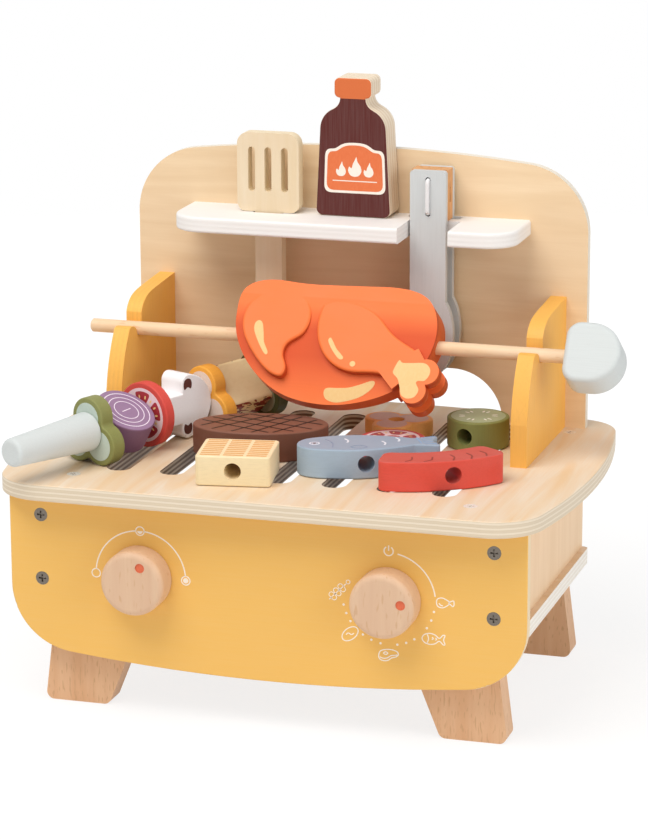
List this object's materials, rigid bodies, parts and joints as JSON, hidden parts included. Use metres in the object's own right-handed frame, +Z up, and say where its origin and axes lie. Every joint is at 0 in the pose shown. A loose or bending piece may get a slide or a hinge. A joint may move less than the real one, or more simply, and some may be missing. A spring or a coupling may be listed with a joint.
{
  "type": "toy barbecue grill",
  "caption": "Wooden toy barbecue with slotted grill top, turning spit roast, skewer, loose wooden food, backboard shelf with utensils and turning knobs.",
  "frame": {"origin": "middle of the bounding box in X and Y, on the surface that the legs stand on", "axes": "+Z up, the knobs face -Y, the spit lies along X"},
  "size_m": [0.3394, 0.2418, 0.3408],
  "materials": {
    "yellow_paint": "satin painted wood",
    "birch_ply": "clear-coated birch plywood",
    "white_paint": "satin painted wood",
    "beech": "clear-coated beech",
    "steel": "zinc-plated steel",
    "roast_orange": "satin painted wood",
    "pale_grey": "satin painted wood",
    "silver_grey": "satin painted wood",
    "elastic_white": "woven elastic cord",
    "sauce_brown": "printed wood",
    "corn_cream": "painted and printed wood",
    "meat_brown": "painted and printed wood",
    "fish_blue": "painted and printed wood",
    "sausage_red": "painted and printed wood",
    "pepper_orange": "painted and printed wood",
    "tomato_red": "painted and printed wood",
    "vegetable_green": "painted and printed wood",
    "onion_purple": "painted and printed wood",
    "mushroom_white": "painted and printed wood",
    "bacon_cream": "painted and printed wood"
  },
  "bodies": {
    "grill": {"front_panel": "yellow_paint", "front_rail": "beech", "side_panel_left": "birch_ply", "side_panel_right": "birch_ply", "bottom_plate": "birch_ply", "leg_front_left": "beech", "leg_front_right": "beech", "leg_rear_left": "beech", "leg_rear_right": "beech", "grill_top": "birch_ply", "backboard": "birch_ply", "shelf": "white_paint", "spit_bracket_left": "yellow_paint", "spit_bracket_right": "yellow_paint", "panel_screws": "steel", "top_screws": "steel", "leg_screws": "steel", "plate_screws": "steel", "bracket_screws": "steel", "rear_screws": "steel"},
    "knob_left": {"knob_left": "beech", "knob_screw_left": "steel", "knob_washer_left": "steel"},
    "knob_right": {"knob_right": "beech", "knob_screw_right": "steel", "knob_washer_right": "steel"},
    "spit": {"spit_rod": "beech", "spit_handle": "pale_grey", "roast_chicken": "roast_orange"},
    "skewered_food": {"skewer_pepper_front": "vegetable_green", "skewer_onion": "onion_purple", "skewer_tomato": "tomato_red", "skewer_mushroom": "mushroom_white", "skewer_pepper_middle": "pepper_orange", "skewer_bacon": "bacon_cream", "skewer_pepper_rear": "vegetable_green"},
    "skewer": {"skewer_rod": "beech", "skewer_grip": "pale_grey"},
    "corn": {"corn": "corn_cream"},
    "steak": {"steak": "meat_brown"},
    "fish": {"fish": "fish_blue"},
    "sausage": {"sausage": "sausage_red"},
    "loose_pepper": {"pepper_slice_loose": "pepper_orange"},
    "loose_tomato": {"tomato_slice_loose": "tomato_red"},
    "cucumber": {"cucumber": "vegetable_green"},
    "bottle": {"sauce_bottle": "sauce_brown"},
    "spatula": {"spatula": "beech"},
    "tongs": {"tongs_spacer": "beech", "tongs_elastic": "elastic_white"},
    "tongs_front": {"tongs_arm_front": "silver_grey"},
    "tongs_rear": {"tongs_arm_rear": "silver_grey"}
  },
  "joints": [
    {"name": "knob_left_turn", "type": "hinge", "parent": "grill", "child": "knob_left", "pos_m": [-0.07625, -0.09512, 0.0826], "axis": [0, -1, 0], "continuous": true},
    {"name": "knob_right_turn", "type": "hinge", "parent": "grill", "child": "knob_right", "pos_m": [0.06775, -0.09512, 0.0826], "axis": [0, -1, 0], "continuous": true},
    {"name": "spit_turn", "type": "hinge", "parent": "grill", "child": "spit", "pos_m": [-0.00425, 0.02888, 0.1944], "axis": [1, 0, 0], "continuous": true},
    {"name": "skewer_lift", "type": "slide", "parent": "grill", "child": "skewered_food", "axis": [-0.3743, -0.8817, 0.2873], "range_m": [0, 0.12]},
    {"name": "skewer_pull", "type": "slide", "parent": "skewered_food", "child": "skewer", "axis": [-0.3907, -0.9205, 0], "range_m": [0, 0.155]},
    {"name": "corn_lift", "type": "slide", "parent": "grill", "child": "corn", "axis": [0, 0, 1], "range_m": [0, 0.06]},
    {"name": "steak_slide", "type": "slide", "parent": "grill", "child": "steak", "axis": [0, -0.8486, 0.5291], "range_m": [0, 0.011]},
    {"name": "fish_lift", "type": "slide", "parent": "grill", "child": "fish", "axis": [0, 0, 1], "range_m": [0, 0.06]},
    {"name": "sausage_lift", "type": "slide", "parent": "grill", "child": "sausage", "axis": [0, 0, 1], "range_m": [0, 0.06]},
    {"name": "pepper_slide", "type": "slide", "parent": "grill", "child": "loose_pepper", "axis": [0, 1, 0], "range_m": [0, 0.06]},
    {"name": "tomato_lift", "type": "slide", "parent": "grill", "child": "loose_tomato", "axis": [0, 0, 1], "range_m": [0, 0.004]},
    {"name": "cucumber_lift", "type": "slide", "parent": "grill", "child": "cucumber", "axis": [0, 0, 1], "range_m": [0, 0.022]},
    {"name": "bottle_lift", "type": "slide", "parent": "grill", "child": "bottle", "axis": [0, 0, 1], "range_m": [0, 0.06]},
    {"name": "spatula_lift", "type": "slide", "parent": "grill", "child": "spatula", "axis": [0, 0, 1], "range_m": [0, 0.075]},
    {"name": "tongs_lift", "type": "slide", "parent": "grill", "child": "tongs", "axis": [0, 0, 1], "range_m": [0, 0.03]},
    {"name": "tongs_squeeze", "type": "hinge", "parent": "tongs", "child": "tongs_front", "pos_m": [0.04385, 0.07328, 0.2593], "axis": [1, 0, 0], "range_deg": [0, 3.2], "stiffness_Nm_per_rad": 0.05, "deforming": ["tongs_elastic"]},
    {"name": "tongs_rear_swing", "type": "hinge", "parent": "tongs", "child": "tongs_rear", "pos_m": [0.04385, 0.08448, 0.2593], "axis": [1, 0, 0], "range_deg": [-3.2, 0], "stiffness_Nm_per_rad": 0.05}
  ],
  "couplings": [
    {"joint": "tongs_rear_swing", "follows": "tongs_squeeze", "ratio": -1}
  ]
}
